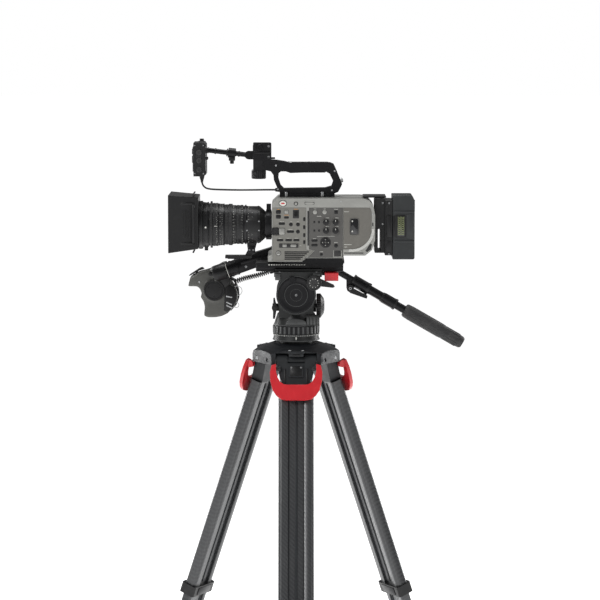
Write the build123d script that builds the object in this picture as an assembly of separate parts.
"""A camcorder with a long zoom lens on a fluid head and a three-leg carbon tripod.

Millimetres. The origin is on the floor under the pan axis, +Z is up, the lens looks along -X and
the operator's side is -Y. Each function makes one sub-part and writes it to parts/NODE.step.
"""

from build123d import *
import os
from math import cos, pi, radians, sin, tan

os.makedirs("parts", exist_ok=True)

# ---------------------------------------------------------------- driving dimensions
RUN_CLEARANCE = 0.05        # radial play of a pin or shaft in its hole
GAP = 0.4                   # play between pieces that slide or turn past each other

# Tripod
LEG_AZIMUTHS = (-90, 150, 30)
LEG_TILT = 20               # legs lean this much out of the vertical, degrees
PIVOT_Z = 930
PIVOT_RADIUS = 63
PIVOT_Y_OUT = 54            # outer face of the spider's ears, from the leg's middle plane
LEG_HALF_WIDTH = 44         # leg head at its pivot
PIN_R = 4
TUBE_W = 77                 # upper leg tube, across the two rails
TUBE_D = 28
TUBE_WALL = 2
CHANNEL_W = 35              # width of the groove between the rails
CHANNEL_DEPTH = 5
HEAD_LENGTH = 58            # leg head casting, from the pivot to the tube
UPPER_END = 575
COLLAR_LENGTH = 24
MIDDLE_TOP = 235
MIDDLE_END = 763
LOWER_TOP = 395
LOWER_END = 922
FOOT_R = 30
FOOT_PIVOT_Z = 30
FOOT_PIVOT_S = (PIVOT_Z - FOOT_PIVOT_Z) / cos(radians(LEG_TILT))
FOOT_RADIUS = PIVOT_RADIUS + FOOT_PIVOT_S * sin(radians(LEG_TILT))
LEVER_X = 18                # brake lever hinge, out from the leg's middle plane
LEVER_S = 23                # and down the leg from its pivot

# Fluid head
BALL_R = 37.5
BALL_Z = 958
RING_R = 49.5
RING_Z0 = 983.6
RING_Z1 = 1001.6
PAN_Z = 1002
TILT_Z = 1072.5
DRUM_R = 34
DISC_R = 43.5
CHEEK_Y0 = 42               # inner face of the tilt cheeks
CHEEK_Y1 = 62
PLATFORM_Z0 = 1112
PLATFORM_Z1 = 1121
DIAL_Z = 1043
LOCK_X = 78
KNOB_X = 38.7
KNOB_Z = 1101
BAR_Y = 92                  # pan bar plane
BAR_X = 66
BAR_Z = 1125.5
BAR_DROP = 30               # pan bar slopes down this much, degrees
BAR_R = 7.3
CLAMP_X = 120.5             # pivot of the pan bar's clamp lever
CLAMP_Z = 1073

# Camera
PLATE_Z0 = 1121.3
PLATE_Z1 = 1140
BODY_Y = 73
BODY_WALL = 3
LENS_Z = 1222
FACE_Y = -BODY_Y
PANEL_THICKNESS = 3
HANDLE_Y = 14
ROD_Y = 20
ROD_R = 5.5
SWIVEL_X = -207
KNUCKLE_X = -104            # hinge of the finder rod on the handle
KNUCKLE_Z = 1373.2
CABLE_ROUTE = [(-207, 20, 1319), (-207, 20, 1313), (-204.9, 19.6, 1307.1),
               (-200.9, 18.9, 1302.5), (-195.4, 18, 1299.7), (-184.6, 16, 1298.2),
               (-165, 12.5, 1297.6), (-131, 6, 1297.3), (-97, -0.5, 1297.8),
               (-67, -5, 1298.5), (-46, -5, 1298.5)]
CURLY_ROUTE = [(-135, 108, 1086), (-121, 108, 1092), (-99, 108, 1097), (-78, 108, 1102),
               (-58, 108, 1109)]
ARM_Y = 100                 # grip arm plane
ROCKER_PIVOT = (-223, 1105.2)
GRIP_Y0 = 96
GRIP_Y1 = 144


# ---------------------------------------------------------------- helpers
def save(name, *pieces):
    """Write one node's solids, with its volume, to its own file."""
    solids = [solid for piece in pieces for solid in piece.solids()]
    export_step(Compound(children=solids), f"parts/{name}.step")
    print(name, len(solids), "solid(s)", round(sum(solid.volume for solid in solids)))


def box(x0, x1, y0, y1, z0, z1):
    return Pos((x0 + x1) / 2, (y0 + y1) / 2, (z0 + z1) / 2) * Box(x1 - x0, y1 - y0, z1 - z0)


def rod(start, end, radius, end_radius=None):
    """A round bar, or a cone, from one point to another."""
    start, end = Vector(*start), Vector(*end)
    length = (end - start).length
    foot = (Align.CENTER, Align.CENTER, Align.MIN)
    if end_radius is None:
        shape = Cylinder(radius, length, align=foot)
    else:
        shape = Cone(radius, end_radius, length, align=foot)
    return Plane(origin=start, z_dir=end - start) * shape


def along_y(x, z, y0, y1, radius, end_radius=None):
    return rod((x, y0, z), (x, y1, z), radius, end_radius)


def along_x(y, z, x0, x1, radius, end_radius=None):
    return rod((x0, y, z), (x1, y, z), radius, end_radius)


def along_z(x, y, z0, z1, radius, end_radius=None):
    return rod((x, y, z0), (x, y, z1), radius, end_radius)


def slab(face, y0, y1):
    """An upright face in the XZ plane, given a thickness from y0 to y1."""
    return Pos(0, y0, 0) * extrude(face, amount=y1 - y0, dir=(0, 1, 0))


def plate(points, y0, y1):
    """An outline of (x, z) points, given a thickness from y0 to y1."""
    return slab(Plane.XZ * Polygon(*points, align=None), y0, y1)


def lathe_x(points, y=0, z=0):
    """A solid turned about a lens axis, from (x, radius) points."""
    return Pos(0, y, z) * revolve(Plane.XZ * Polygon(*points, align=None), axis=Axis.X)


def lathe_z(points):
    """A solid turned about the pan axis, from (radius, z) points."""
    return revolve(Plane.XZ * Polygon(*points, align=None), axis=Axis.Z)


def leg_place(azimuth):
    """From leg coordinates (X outwards, Y across, -Z down the leg) to the tripod."""
    return Rot(0, 0, azimuth) * Pos(PIVOT_RADIUS, 0, PIVOT_Z) * Rot(0, -LEG_TILT, 0)


# ---------------------------------------------------------------- tripod
def rail_section(inset):
    """The leg tube's section: two rounded rails and a thinner web, drawn in by inset."""
    width = TUBE_W - 2 * inset
    depth = TUBE_D - 2 * inset
    channel = CHANNEL_W + 2 * inset
    section = RectangleRounded(depth, width, 8 - inset * 0.9)
    floor = TUBE_D / 2 - CHANNEL_DEPTH - inset
    for side in (-1, 1):
        middle = side * (floor + depth) / 2
        section -= Pos(middle, 0) * Rectangle(depth - floor, channel)
    return section


def rail_tube(inset, top, bottom):
    """A hollow leg tube between two distances down the leg."""
    section = rail_section(inset) - rail_section(inset + TUBE_WALL)
    return Pos(0, 0, -bottom) * extrude(section, amount=bottom - top)


def collar(inset, end):
    """A clamp collar moulded round the lower end of a leg tube."""
    block = RectangleRounded(TUBE_D - 2 * inset + 10, TUBE_W - 2 * inset + 9, 6)
    section = block - rail_section(inset + TUBE_WALL)
    return Pos(0, 0, -end - 14) * extrude(section, amount=COLLAR_LENGTH)


def spider():
    """The crown: a domed roof on three forks, with the bowl that holds the half ball."""
    profile = [(0, 921), (96, 921), (97, 938), (94, 945), (82, 951.5), (68, 957.5),
               (52, 963), (50, 963), (50, 961), (0, 961)]
    dome = lathe_z(profile)
    corners = []
    for azimuth in (30, 150, 270):
        for side in (-1, 1):
            corner = Vector(80, side * PIVOT_Y_OUT, 0).rotate(Axis.Z, azimuth)
            corners.append((corner.X, corner.Y))
    outline = Pos(0, 0, 920) * extrude(Polygon(*corners, align=None), amount=60, dir=(0, 0, 1))
    crown = dome & outline
    holes = []
    for azimuth in LEG_AZIMUTHS:
        turn = Rot(0, 0, azimuth)
        half = LEG_HALF_WIDTH + 0.6
        crown -= turn * box(46.5, 120, -half, half, 900, 947)
        crown -= turn * box(70, 92, -17, 17, 938, 947)
        holes.append(turn * along_y(PIVOT_RADIUS, PIVOT_Z, -70, 70, PIN_R + RUN_CLEARANCE))
    crown -= along_z(0, 0, 900, 932, 40)
    crown -= Pos(0, 0, BALL_Z) * Sphere(BALL_R + 0.3)
    crown = crown - holes
    lips = []
    for azimuth in LEG_AZIMUTHS:
        lip = box(76, 90, -18, 18, 947, 953)
        lips.append(Rot(0, 0, azimuth) * lip)
    save("spider", crown + lips)


def pivot_pins():
    pins = []
    for azimuth in LEG_AZIMUTHS:
        pins.append(Rot(0, 0, azimuth) * along_y(PIVOT_RADIUS, PIVOT_Z, -62, 62, PIN_R))
    save("pivot_pins", *pins)


def leg_head():
    """The casting between the spider and the carbon tube, with two knuckles on the pin."""
    shape = extrude(Plane.YZ * Polygon((-44, 0), (44, 0), (31, -HEAD_LENGTH), (-31, -HEAD_LENGTH),
                                       align=None), amount=TUBE_D / 2, both=True)
    shape += [along_y(0, 0, -LEG_HALF_WIDTH, -19, 15), along_y(0, 0, 19, LEG_HALF_WIDTH, 15)]
    shape -= box(-20, 20, -19, 19, -10, 20)
    shape += along_y(0, 0, -19, 19, 11)
    shape += box(10, 18, -15.5, 15.5, -42, -14)
    for side in (-1, 1):
        shape += along_y(LEVER_X, -LEVER_S, side * 34, side * 43, 6)
        shape += box(8, LEVER_X, min(side * 34, side * 39), max(side * 34, side * 39),
                     -LEVER_S - 6, -LEVER_S + 6)
        shape += along_y(LEVER_X, -LEVER_S, side * 43, side * 50, 3)
    return shape - along_y(0, 0, -60, 60, PIN_R + RUN_CLEARANCE)


def leg_upper():
    tube = rail_tube(0, HEAD_LENGTH, UPPER_END)
    return leg_head(), tube + collar(0, UPPER_END)


def leg_middle():
    inset = TUBE_WALL + 0.3
    return rail_tube(inset, MIDDLE_TOP, MIDDLE_END) + collar(inset, MIDDLE_END - 2)


def leg_lower():
    """The last tube, its end block and the tongue that the foot turns on."""
    inset = 2 * (TUBE_WALL + 0.3)
    tube = rail_tube(inset, LOWER_TOP, LOWER_END)
    block = box(-12, 12, -35, 35, -945, -LOWER_END)
    tongue = box(-8, 8, -8.6, 8.6, -FOOT_PIVOT_S, -945) + along_y(0, -FOOT_PIVOT_S, -8.6, 8.6, 8)
    return tube + block + tongue - along_y(0, -FOOT_PIVOT_S, -20, 20, 3 + RUN_CLEARANCE)


def brake_lever():
    """The U-shaped bail that frees or locks both lower sections of a leg."""
    outer = [(-53.5, -18), (-57, -34), (-56, -52), (-51, -72), (-43, -84), (-34, -92), (-20, -95)]
    inner = [(20, -61), (27, -60), (35, -54), (40, -45), (43.6, -32), (43.6, -15)]
    right = [(-y, s) for y, s in reversed(outer)]
    left = [(-y, s) for y, s in inner]
    outline = outer + right + list(reversed(inner)) + left
    face = Plane.YZ * Polygon(*outline, align=None)
    bail = Pos(22, 0, 0) * extrude(face, amount=8, dir=(1, 0, 0))
    for side in (-1, 1):
        bail += along_y(LEVER_X, -LEVER_S, side * 43.6, side * 53, 8)
    return bail - along_y(LEVER_X, -LEVER_S, -50.3, 50.3, 3 + RUN_CLEARANCE)


def foot():
    """A rubber sole under a fork, with the pin that the lower leg turns on."""
    sole = along_z(0, 0, 0, 12, FOOT_R)
    fork = []
    for side in (-1, 1):
        ear = box(-8, 8, min(side * 9, side * 15), max(side * 9, side * 15), 12, FOOT_PIVOT_Z)
        fork.append(ear + along_y(0, FOOT_PIVOT_Z, side * 9, side * 15, 8))
    pin = along_y(0, FOOT_PIVOT_Z, -15, 15, 3)
    base = along_z(0, 0, 12, 15, 22, 18)
    return sole, fork[0] + fork[1] + base + pin


def angle_lock():
    """The push latch that holds a leg at its angle."""
    return box(72, 89, -16, 16, 940.8, 946.6)


def legs():
    for number, azimuth in enumerate(LEG_AZIMUTHS, start=1):
        place = leg_place(azimuth)
        turn = Rot(0, 0, azimuth)
        save(f"leg_{number}_upper", *[place * piece for piece in leg_upper()])
        save(f"leg_{number}_middle", place * leg_middle())
        save(f"leg_{number}_lower", place * leg_lower())
        save(f"leg_{number}_brake_lever", place * brake_lever())
        save(f"leg_{number}_foot", *[turn * Pos(FOOT_RADIUS, 0, 0) * piece for piece in foot()])
        save(f"leg_{number}_angle_lock", turn * angle_lock())


# ---------------------------------------------------------------- fluid head
def half_ball():
    """The ball seat, its flange and scale ring, the pan spindle and the clamp stud."""
    ball = Pos(0, 0, BALL_Z) * Sphere(BALL_R)
    ball &= box(-50, 50, -50, 50, 900, BALL_Z)
    body = ball + along_z(0, 0, BALL_Z, 968.5, 36)
    body += lathe_z([(0, 968.5), (51.5, 968.5), (49, 979.5), (50, 979.5), (50, 983.2), (0, 983.2)])
    body += along_z(0, 0, 983.2, RING_Z1, 35.5)
    body += along_z(0, 0, RING_Z1, 1020, 12)
    body += along_z(0, 0, 872, 922, 6)
    save("half_ball", body)


def bowl_clamp_knob():
    """The knob under the bowl that pulls the half ball down into its seat."""
    knob = along_z(0, 0, 874, 890, 19) + along_z(0, 0, 890, 904, 12)
    knob += box(-24, 24, -4.5, 4.5, 875, 889)
    save("bowl_clamp_knob", knob - along_z(0, 0, 860, 910, 6 + RUN_CLEARANCE))


def drag_ring():
    """The ribbed ring that sets the pan drag."""
    ring = along_z(0, 0, RING_Z0, RING_Z1, RING_R)
    save("drag_ring", ring - along_z(0, 0, 980, 1010, 35.5 + RUN_CLEARANCE))


def pan_housing():
    """The turning base of the head, with the drum that the tilt cheeks straddle."""
    base = lathe_z([(0, PAN_Z), (49, PAN_Z), (46, 1012), (41, 1027), (0, 1027)])
    neck = box(-38, 38, -40, 40, 1020, TILT_Z) + along_y(0, TILT_Z, -41, 41, DRUM_R)
    block = box(22, 51, -46, -27, 1004, 1026)
    boss = along_x(0, DIAL_Z, 30, 44, 14)
    ears = box(-52, -36, -16, -9, 1033, 1049)
    pin = along_y(-47, 1041, -31, -16, 3)
    body = base + neck + block + boss + ears + pin
    body += along_x(0, DIAL_Z, 44, 58, 5)
    body -= along_z(0, 0, 1000, 1020.5, 12 + RUN_CLEARANCE)
    body -= along_y(0, TILT_Z, -50, 50, 10 + RUN_CLEARANCE)
    save("pan_housing", body)


def drag_dial():
    """The tilt drag dial at the back of the pan housing."""
    dial = lathe_x([(44.4, 0), (44.4, 26), (54, 26), (61, 16), (61, 0)], z=DIAL_Z)
    save("drag_dial", dial - along_x(0, DIAL_Z, 40, 58.5, 5 + RUN_CLEARANCE))


def pan_brake_lever():
    outline = [(-51, 1017), (-46.5, 1017), (-43.5, 1033), (-43.8, 1049), (-47, 1063), (-50, 1062)]
    lever = plate(outline, -29, -19) + along_y(-47, 1041, -29, -16.4, 6.5)
    save("pan_brake_lever", lever - along_y(-47, 1041, -40, -10, 3 + RUN_CLEARANCE))


def tilt_body():
    """Two cheeks with round hubs, the axle through the drum, the platform and its jaws."""
    outline = [(-33, PLATFORM_Z0), (-41, 1086), (41, 1086), (53, PLATFORM_Z0)]
    cheeks = []
    for y0, y1 in ((-CHEEK_Y1, -CHEEK_Y0), (CHEEK_Y0, CHEEK_Y1)):
        cheeks.append(plate(outline, y0, y1) + along_y(0, TILT_Z, y0, y1, DISC_R))
    body = cheeks[0] + cheeks[1] + along_y(0, TILT_Z, -50, 50, 10)
    body += box(-48, 56, -CHEEK_Y1, CHEEK_Y1, PLATFORM_Z0, PLATFORM_Z1)
    body += box(56, 88, -16, 16, PLATFORM_Z0, PLATFORM_Z1)
    body += box(50, 84, 16, CHEEK_Y1, PLATFORM_Z0, PLATFORM_Z1)
    for side in (-1, 1):
        body += box(-46, 56, min(side * 30.5, side * 44), max(side * 30.5, side * 44),
                    PLATFORM_Z1, 1128)
    body += along_y(KNOB_X, KNOB_Z, -84, -CHEEK_Y1, 5)
    body += box(48, 80, CHEEK_Y1, 77, 1104, PLATFORM_Z1)
    body += box(50, 82, 62, 77, PLATFORM_Z1, 1128) + along_y(BAR_X, BAR_Z, 62, 84, 17)
    body += along_z(LOCK_X, 0, 1104, PLATFORM_Z0, 5)
    save("tilt_body", body)


def tilt_controls():
    """Counterbalance knob and tilt brake lever on one stub, and the plate lock lever."""
    knob = along_y(KNOB_X, KNOB_Z, -86, -70.6, 16.3)
    save("counterbalance_knob", knob - along_y(KNOB_X, KNOB_Z, -84.3, -60, 5 + RUN_CLEARANCE))
    lever = along_y(KNOB_X, KNOB_Z, -70.2, -62.4, 12)
    lever += plate([(44, 1106), (50, 1110), (82, 1095.5), (84, 1091), (80, 1089), (46, 1093)],
                   -70.2, -62.4)
    save("tilt_brake_lever", lever - along_y(KNOB_X, KNOB_Z, -80, -50, 5 + RUN_CLEARANCE))
    lock = along_z(LOCK_X, 0, 1103, PLATFORM_Z0 - GAP, 12)
    lock += box(66, 90, -58, 0, 1103, PLATFORM_Z0 - GAP)
    lock += box(62, 92, -60, -24, 1103, PLATFORM_Z1 - 0.6)
    save("plate_lock_lever", lock - along_z(LOCK_X, 0, 1104 - GAP, 1125, 5 + RUN_CLEARANCE))


BAR = Plane(origin=(BAR_X, BAR_Y, BAR_Z), x_dir=(0, 1, 0),
            z_dir=(cos(radians(BAR_DROP)), 0, -sin(radians(BAR_DROP))))


def on_bar(start, end, radius, end_radius=None):
    """A round piece on the pan bar's axis, between two distances from its rosette."""
    return BAR * rod((0, 0, start), (0, 0, end), radius, end_radius)


def pan_bar():
    """The telescoping pan bar, its clamp lever and its rubber grip."""
    inner = along_y(BAR_X, BAR_Z, 84.4, 99, 17) + on_bar(10, 195, BAR_R)
    save("pan_bar_inner", inner)
    tube = on_bar(69, 112, 13) + on_bar(112, 148, 10) + on_bar(148, 181, 12) + on_bar(181, 345, 9)
    lobe = box(112, 129, 84, 100, CLAMP_Z, 1096) + along_y(CLAMP_X, CLAMP_Z, 84, 100, 8)
    tube = tube + lobe - on_bar(30, 222, BAR_R + RUN_CLEARANCE)
    tube += along_y(CLAMP_X, CLAMP_Z, 78, 106, 3)
    save("pan_bar_outer", tube)
    blade = [(113, 1072), (120, 1063), (157, 1050), (159, 1055), (130, 1070)]
    lever = along_y(CLAMP_X, CLAMP_Z, 78, 83.6, 8) + along_y(CLAMP_X, CLAMP_Z, 100.4, 106, 8)
    lever += plate(blade, 78, 83.6) + plate(blade, 100.4, 106)
    lever += plate([(138, 1056.7), (157, 1050), (159, 1055), (140, 1064)], 78, 106)
    save("bar_clamp_lever", lever - along_y(CLAMP_X, CLAMP_Z, 70, 110, 3 + RUN_CLEARANCE))
    grip = on_bar(203, 215, 13, 16) + on_bar(215, 345, 16) + on_bar(345, 353, 16, 12)
    save("bar_grip", grip - on_bar(190, 345, 9))


# ---------------------------------------------------------------- camera
BODY_OUTLINE = [
    (-61.2, 1146.6), (12.6, 1146.6), (21.3, 1154.2), (101.6, 1154.2), (104, 1159.6),
    (150, 1159.6), (164.6, 1171.6), (171.1, 1193.3), (171.1, 1247.6), (166.8, 1269.3),
    (158, 1279), (142, 1283.4), (-40, 1283.4), (-52.6, 1271), (-52.6, 1161.6), (-61.2, 1158),
]
FRONT_PANEL = [(-50.5, 1263.5), (21.5, 1263.5), (21.5, 1172), (38, 1169.6), (12.4, 1148.4),
               (-50.5, 1148.4)]
AUDIO_PANEL = [(28.5, 1263.5), (101.4, 1263.5), (101.4, 1155.6), (24.5, 1155.6), (41.5, 1170.5),
               (28.5, 1173)]
MEDIA_DOOR = [(102.7, 1263.5), (160, 1263.5), (163, 1255), (163, 1212), (158, 1194),
              (148, 1181), (130, 1174.5), (102.7, 1173.7)]
REC_CENTRE = (-28.7, 0, 1273)
DIAL_X = -44.5
DIAL_Y = -69
DIAL_R = 8.5
DIAL_Z0 = 1205.3
DIAL_Z1 = 1219.4


def camera_plate():
    """The sliding quick-release plate, with a dovetail below."""
    plate_body = box(-88, 103, -37, 37, 1129, PLATE_Z1)
    save("camera_plate", plate_body + box(-88, 103, -30, 30, PLATE_Z0, 1129))


def camera_body():
    """The magnesium shell with its black base, hollow for the electronics."""
    shell = plate(BODY_OUTLINE, -BODY_Y, BODY_Y)
    core = offset(Plane.XZ * Polygon(*BODY_OUTLINE, align=None), amount=-BODY_WALL,
                  kind=Kind.INTERSECTION)
    shell -= slab(core, 6 - BODY_Y, BODY_Y - 6)
    shell -= along_x(0, LENS_Z, -56, -45, 26)
    for outline in (FRONT_PANEL, AUDIO_PANEL, MEDIA_DOOR):
        face = Plane.XZ * Polygon(*outline, align=None)
        wider = offset(face, amount=0.4, kind=Kind.INTERSECTION)
        shell -= slab(wider, FACE_Y - 5, FACE_Y + PANEL_THICKNESS)
    shell -= along_z(DIAL_X, DIAL_Y, DIAL_Z0 - 0.5, DIAL_Z1 + 0.5, DIAL_R + 0.5)
    shell += along_z(DIAL_X, DIAL_Y, DIAL_Z0 - 1, DIAL_Z1 + 1, 2)
    shell -= slab(Pos(*REC_CENTRE) * Rot(90, 0, 0) * Ellipse(7.9, 5.8), -78, -68.5)
    base = box(-20, 105, -45, 45, PLATE_Z1, 1146.6) + box(22, 101, -45, 45, 1146.6, 1154.2)
    rosette = along_y(-22, 1168, BODY_Y - 2, 83.6, 20) + along_y(-22, 1168, 80, 91.6, 6)
    save("camera_body", shell + base + rosette)


def front_panel():
    """The switch panel ahead of the audio panel, with its cooling slots."""
    panel = plate(FRONT_PANEL, FACE_Y, FACE_Y + PANEL_THICKNESS)
    panel -= along_z(DIAL_X, DIAL_Y, DIAL_Z0 - 1.3, DIAL_Z1 + 1.3, DIAL_R + 0.5)
    for row in range(5):
        z = 1150.8 + 3.9 * row
        panel -= box(-25, 10 + 4.4 * row, FACE_Y - 1, FACE_Y + 2, z, z + 2.6)
    switch = box(-37, 6, FACE_Y - 1.6, FACE_Y + 0.5, 1176.5, 1186)
    save("front_panel", panel + switch)


def control_panel():
    """The audio panel, with four level knobs and a socket for the navigation dial."""
    panel = plate(AUDIO_PANEL, FACE_Y, FACE_Y + PANEL_THICKNESS)
    panel -= along_y(63.6, 1188.4, FACE_Y - 1, FACE_Y + 1.5, 9.5)
    panel += along_y(63.6, 1188.4, FACE_Y - 3, FACE_Y + 2, 2)
    for x in (64.7, 85.4):
        for z in (1232.4, 1213.9):
            panel += along_y(x, z, FACE_Y - 3.5, FACE_Y + 0.5, 6.9)
    save("control_panel", panel)


def small_controls():
    """Record button, variable filter dial and navigation dial."""
    save("rec_button", slab(Pos(*REC_CENTRE) * Rot(90, 0, 0) * Ellipse(7.5, 5.4), -74.6, -70.3))
    dial = along_z(DIAL_X, DIAL_Y, DIAL_Z0, DIAL_Z1, DIAL_R)
    save("filter_dial", dial - along_z(DIAL_X, DIAL_Y, 1200, 1225, 2 + RUN_CLEARANCE))
    jog = along_y(63.6, 1188.4, FACE_Y - 2.6, FACE_Y + 1.1, 9)
    save("nav_dial", jog - along_y(63.6, 1188.4, FACE_Y - 5, FACE_Y + 5, 2 + RUN_CLEARANCE))


def media_door():
    """The card door, with a raised window frame."""
    door = plate(MEDIA_DOOR, FACE_Y, FACE_Y + PANEL_THICKNESS - GAP)
    save("media_door", door - box(117, 135, FACE_Y - 1, FACE_Y + 1.4, 1205, 1240))


def main_board():
    """The circuit board inside the shell, and the sensor block behind the lens mount."""
    board = box(-30, 150, 38, 40.5, 1175, 1268)
    board += box(20, 70, 25, 38, 1190, 1250)
    sensor = box(-35, -27, -26, 26, 1200, 1244) + box(-30, -27, 20, 40, 1200, 1244)
    posts = [along_y(x, z, 40.5, BODY_Y - 6, 4) for x in (-10, 130) for z in (1185, 1258)]
    save("main_board", board + sensor + posts)


def battery_plate():
    """The adapter on the back of the body and the wedge plate that carries the battery."""
    adapter = box(171.1, 193, -44, 44, 1163, 1282) - box(178, 184, -60, 60, 1167, 1215)
    carrier = box(193, 209.4, -49, 49, 1158, 1277.5)
    carrier += box(209.4, 213.5, -19, 19, 1172, 1238)
    save("battery_plate", adapter + carrier)


def battery():
    """The battery pack, which slides up off its wedge plate."""
    pack = plate([(209.8, 1149), (256, 1149), (258, 1152), (258, 1277), (253, 1288),
                  (209.8, 1288)], -49, 49)
    pack -= box(205, 214, -19.5, 19.5, 1140, 1238.6)
    save("battery", pack - box(250, 260, -40, 40, 1175, 1250))


def top_handle():
    """The carrying handle, its base rail and the bracket of the finder rod."""
    outline = [(-72.9, 1366), (-39.9, 1363.2), (-24.6, 1360.8), (-13.6, 1357.6), (74.2, 1358.4),
               (82, 1355), (86, 1346.5), (100.5, 1311.4), (98.3, 1306), (91.7, 1294), (83, 1290.6),
               (-34.5, 1290.6), (-42.1, 1304.8), (-48.7, 1320.2), (-49.8, 1331.2),
               (-55.3, 1338.9), (-68.5, 1342)]
    gap = [(-33.4, 1338.9), (-22.4, 1338.9), (-12.5, 1335.5), (66, 1338), (73, 1334), (80.8, 1318),
           (77, 1307), (63.2, 1303.2), (-26.8, 1302), (-34, 1309.2), (-38.8, 1324.6),
           (-38, 1335)]
    grip = plate(outline, -HANDLE_Y, HANDLE_Y) - plate(gap, -30, 30)
    rail = box(-36, 84, -20, 20, 1283.4, 1290.6)
    hole = along_z(20, 0, 1346, 1365, 2.55)
    bracket = box(-94, -66, -12, 28, 1341, 1365)
    clamp = box(-94, -54.3, -14, 30, 1364, 1399.5)
    for side in (-1, 1):
        y0 = ROD_Y + side * 6.5
        y1 = ROD_Y + side * 11
        lug = along_y(KNUCKLE_X, KNUCKLE_Z, min(y0, y1), max(y0, y1), 9)
        clamp += lug + box(KNUCKLE_X, -93, min(y0, y1), max(y0, y1), 1364, 1382)
    clamp += along_y(KNUCKLE_X, KNUCKLE_Z, ROD_Y - 11, ROD_Y + 11, 3)
    gland = along_x(CABLE_ROUTE[-1][1], CABLE_ROUTE[-1][2], CABLE_ROUTE[-1][0], -36, 3.2)
    knob = along_z(-82, 8, 1322, 1342, 15)
    save("top_handle", grip + rail + bracket + clamp + knob + gland - hole)


def rod_point(x):
    """A point on the finder rod's axis, which climbs a little towards the front."""
    return (x, ROD_Y, KNUCKLE_Z + (KNUCKLE_X - x) * tan(radians(6.7)))


def lcd_arm():
    """The finder rod, from its knuckle on the handle to the eye that the finder turns on."""
    arm = rod(rod_point(KNUCKLE_X), rod_point(SWIVEL_X), ROD_R)
    arm += along_y(KNUCKLE_X, KNUCKLE_Z, ROD_Y - 6.1, ROD_Y + 6.1, 9)
    arm += rod(rod_point(-133), rod_point(-149), 11)
    x, y, z = rod_point(SWIVEL_X)
    arm += along_z(x, y, z - ROD_R, z + ROD_R, 7.5)
    arm -= along_y(KNUCKLE_X, KNUCKLE_Z, 0, 50, 3 + RUN_CLEARANCE)
    save("lcd_arm", arm - along_z(x, y, z - 20, z + 20, 3 + RUN_CLEARANCE))


def lcd_monitor():
    """The finder, seen edge-on from the side, with the lugs of its swivel on the far edge."""
    case = plate([(-221.5, 1332), (-198, 1332), (-196.3, 1336), (-196.3, 1402), (-198, 1404.3),
                  (-221.5, 1404.3)], -86, 3)
    eye_z = rod_point(SWIVEL_X)[2]
    for z0, z1 in ((1332, eye_z - 7), (eye_z + 7, eye_z + 19)):
        case += box(-215, -199, 2, 20, z0, z1) + along_z(SWIVEL_X, ROD_Y, z0, z1, 8)
    case += along_z(SWIVEL_X, ROD_Y, eye_z - 19, eye_z + 22, 3)
    case += along_z(SWIVEL_X, ROD_Y, eye_z + 19, eye_z + 24, 5)
    gland = along_z(SWIVEL_X, ROD_Y, 1319, 1332, 4, 7)
    save("lcd_monitor", case + gland)


def route_tube(name, points, diameter):
    """A cord's plain tube: straight runs joined by arcs as large as the runs allow."""
    vectors = [Vector(*point) for point in points]
    radii = []
    for before, here, after in zip(vectors, vectors[1:], vectors[2:]):
        shorter = min((here - before).length, (after - here).length)
        turn = (here - before).get_angle(after - here)
        radii.append(0.45 * shorter / tan(radians(turn / 2)))
    path = FilletPolyline(*vectors, radius=radii)
    start = Plane(origin=path @ 0, z_dir=path % 0)
    tube = sweep(start * Circle(diameter / 2), path=path)
    expected = path.length * pi * diameter ** 2 / 4
    print(name, "radii", [round(radius) for radius in radii], "length", round(path.length),
          "volume over expected", round(tube.volume / expected, 3))
    save(name, tube)


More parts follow.
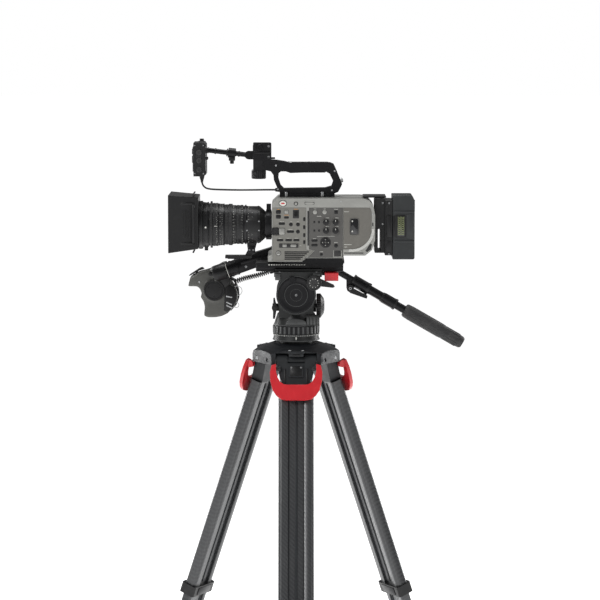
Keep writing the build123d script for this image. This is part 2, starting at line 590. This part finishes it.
def lens():
    """Barrel with its foot, glass, three turning rings, hood and the mount lever."""
    barrel = lathe_x([(-212, 47), (-212, 52), (-204, 52), (-203.6, 48.4), (-190.8, 48.4),
                      (-190.8, 40), (-169.6, 40), (-169.6, 45.6), (-156.8, 45.6), (-156.8, 40),
                      (-114.8, 40), (-114.6, 40.4), (-79.6, 40.4), (-68.6, 30.8), (-68.6, 29.4),
                      (-52.6, 29.4), (-52.6, 24), (-78, 24), (-120, 37), (-207, 37), (-207, 47)],
                     z=LENS_Z)
    foot_neck = plate([(-108, LENS_Z - 40), (-86, LENS_Z - 40), (-90, 1168), (-98, 1154.4),
                       (-112, 1154.4), (-106, 1166)], -11, 11)
    foot_neck += plate([(-108, LENS_Z - 32), (-86, LENS_Z - 32), (-86, LENS_Z - 41),
                        (-108, LENS_Z - 41)], -11, 11)
    foot_plate = box(-155.5, -98, -16, 16, 1148.5, 1154.4)
    stub = along_z(0, 0, -57, -47, 4)
    barrel += foot_neck + foot_plate
    barrel -= along_x(0, LENS_Z, -119, -53, 24)
    barrel += Pos(-197, 0, LENS_Z) * stub
    save("lens_barrel", barrel)
    elements = []
    for x, radius, thickness in ((-205, 37, 12), (-180, 36.8, 6), (-150, 36.8, 9), (-76, 23.8, 7)):
        elements.append(along_x(0, LENS_Z, x, x + thickness, radius))
    save("lens_glass", *elements)
    focus = lathe_x([(-190.4, 40.4), (-190.4, 46.7), (-187.4, 46.7), (-187.4, 50.8), (-183, 50.8),
                     (-183, 46.7), (-170, 46.7), (-170, 40.4)], z=LENS_Z)
    save("focus_ring", focus)
    zoom = lathe_x([(-156.4, 40.4), (-156.4, 43.7), (-147.8, 43.7), (-147.8, 45), (-139, 45),
                    (-139, 42.6), (-131, 42.6), (-131, 40.4)], z=LENS_Z)
    save("zoom_ring", zoom)
    save("iris_ring", lathe_x([(-130.6, 40.4), (-130.6, 42.4), (-115.2, 42.4), (-115.2, 40.4)],
                              z=LENS_Z))
    lever = lathe_x([(-66, 29.8), (-66, 33), (-54, 33), (-54, 29.8)], z=LENS_Z)
    tab = box(-65, -55, -7, 7, LENS_Z + 31, LENS_Z + 45.5)
    tab &= along_x(0, LENS_Z, -70, -50, 45.7)
    save("mount_lever", lever + tab - along_x(0, LENS_Z, -70, -50, 29.8))


def frustum(x0, low0, high0, half0, x1, low1, high1, half1):
    """A four-sided tapered block between two upright rectangles."""
    faces = []
    for x, low, high, half in ((x0, low0, high0, half0), (x1, low1, high1, half1)):
        faces.append(Plane.YZ.offset(x) * Pos(0, (low + high) / 2) * Rectangle(2 * half, high - low))
    return loft(faces)


def lens_hood():
    """The rectangular shade, open in front, on a bayonet ring."""
    wall = 3
    outside = frustum(-277.6, 1164.3, 1290.5, 71, -212.6, 1173, 1285, 62)
    inside = frustum(-279, 1164.3 + wall, 1290.5 - wall, 71 - wall,
                     -216, 1173 + wall, 1285 - wall, 62 - wall)
    ring = along_x(0, LENS_Z, -216, -208, 46.7)
    hood = outside - inside + ring
    save("lens_hood", hood - along_x(0, LENS_Z, -220, -200, 43))


GRIP_SLOPE = radians(18.4)      # the grip ring's axis points down and forward by this much
GRIP_RING_R = 17.5
GRIP_PIN_R = 6
GRIP_PLANE = Plane(origin=(-155.2, ARM_Y, 1112), z_dir=(-cos(GRIP_SLOPE), 0, -sin(GRIP_SLOPE)))
DISC_FOOT = (Align.CENTER, Align.CENTER, Align.MIN)


def grip_arm():
    """The arm on the far side that carries the hand grip, with its cord socket."""
    arm = plate([(-22, 1188), (-58.7, 1163), (-96.7, 1151.4), (-138, 1136), (-128, 1105),
                 (-92, 1118), (-40, 1134), (-5, 1152)], 84, 114)
    arm += GRIP_PLANE * Pos(0, 0, -26) * Cylinder(GRIP_RING_R, 26, align=DISC_FOOT)
    arm += GRIP_PLANE * Pos(0, 0, -22) * Cylinder(GRIP_PIN_R, 44, align=DISC_FOOT)
    arm += along_y(-22, 1168, 84, 114, 20)
    arm -= along_y(-22, 1168, 80, 92, 6 + RUN_CLEARANCE)
    end, before = Vector(*CURLY_ROUTE[-1]), Vector(*CURLY_ROUTE[-2])
    socket = end + (end - before).normalized() * 14
    arm += rod(tuple(end), tuple(socket), 6.5)
    arm += box(socket.X - 6, socket.X + 6, 102, 114, socket.Z - 4, 1140)
    save("grip_arm", arm)


def hand_grip():
    """The moulded grip: an elbow from the arm's ring, the handle and its forward nose."""
    outline = [(-242.4, 1075.6), (-237.4, 1096), (-216, 1108), (-205, 1110.4), (-182.4, 1117),
               (-166.7, 1127.2), (-156, 1131), (-145, 1096), (-142, 1081), (-135.2, 1074.4),
               (-131, 1063), (-131, 1050), (-133, 1040.7), (-139.7, 1029.5), (-153.2, 1014.9),
               (-166.7, 1008.6), (-180.2, 1005.9), (-198, 1005.9), (-207, 1009.3),
               (-205, 1029.5), (-207.1, 1040.7), (-214.5, 1052), (-211.6, 1060),
               (-216, 1071), (-222, 1075.6)]
    grip = plate(outline, GRIP_Y0, GRIP_Y1)
    elbow = GRIP_PLANE * Pos(0, 0, GAP) * Cylinder(GRIP_RING_R, 32, align=DISC_FOOT)
    behind = GRIP_PLANE * Pos(0, 0, GAP - 25) * Box(60, 80, 50)
    grip = (grip - behind) + elbow + along_y(-183.5, 1067.7, 90, GRIP_Y0 + 2, 23)
    grip -= GRIP_PLANE * Pos(0, 0, -5) * Cylinder(GRIP_PIN_R + RUN_CLEARANCE, 27.4, align=DISC_FOOT)
    save("hand_grip", grip - along_y(*ROCKER_PIVOT, 111.6, 130.4, 3 + RUN_CLEARANCE))


def zoom_rocker():
    rocker = plate([(-241, 1098.2), (-237.4, 1101.7), (-216.1, 1115.5), (-210.4, 1117.2),
                    (-206, 1113.6), (-216.4, 1110.6), (-222, 1107.4), (-237, 1099)], 112, 130)
    save("zoom_rocker", rocker + along_y(*ROCKER_PIVOT, 112, 130, 3))


spider()
pivot_pins()
legs()
half_ball()
bowl_clamp_knob()
drag_ring()
pan_housing()
drag_dial()
pan_brake_lever()
tilt_body()
tilt_controls()
pan_bar()
camera_plate()
camera_body()
front_panel()
control_panel()
small_controls()
media_door()
main_board()
battery_plate()
battery()
top_handle()
lcd_arm()
lcd_monitor()
route_tube("lcd_cable", CABLE_ROUTE, 4)
lens()
lens_hood()
grip_arm()
hand_grip()
zoom_rocker()
route_tube("curly_cord", CURLY_ROUTE, 9)
print(len(os.listdir("parts")), "files")
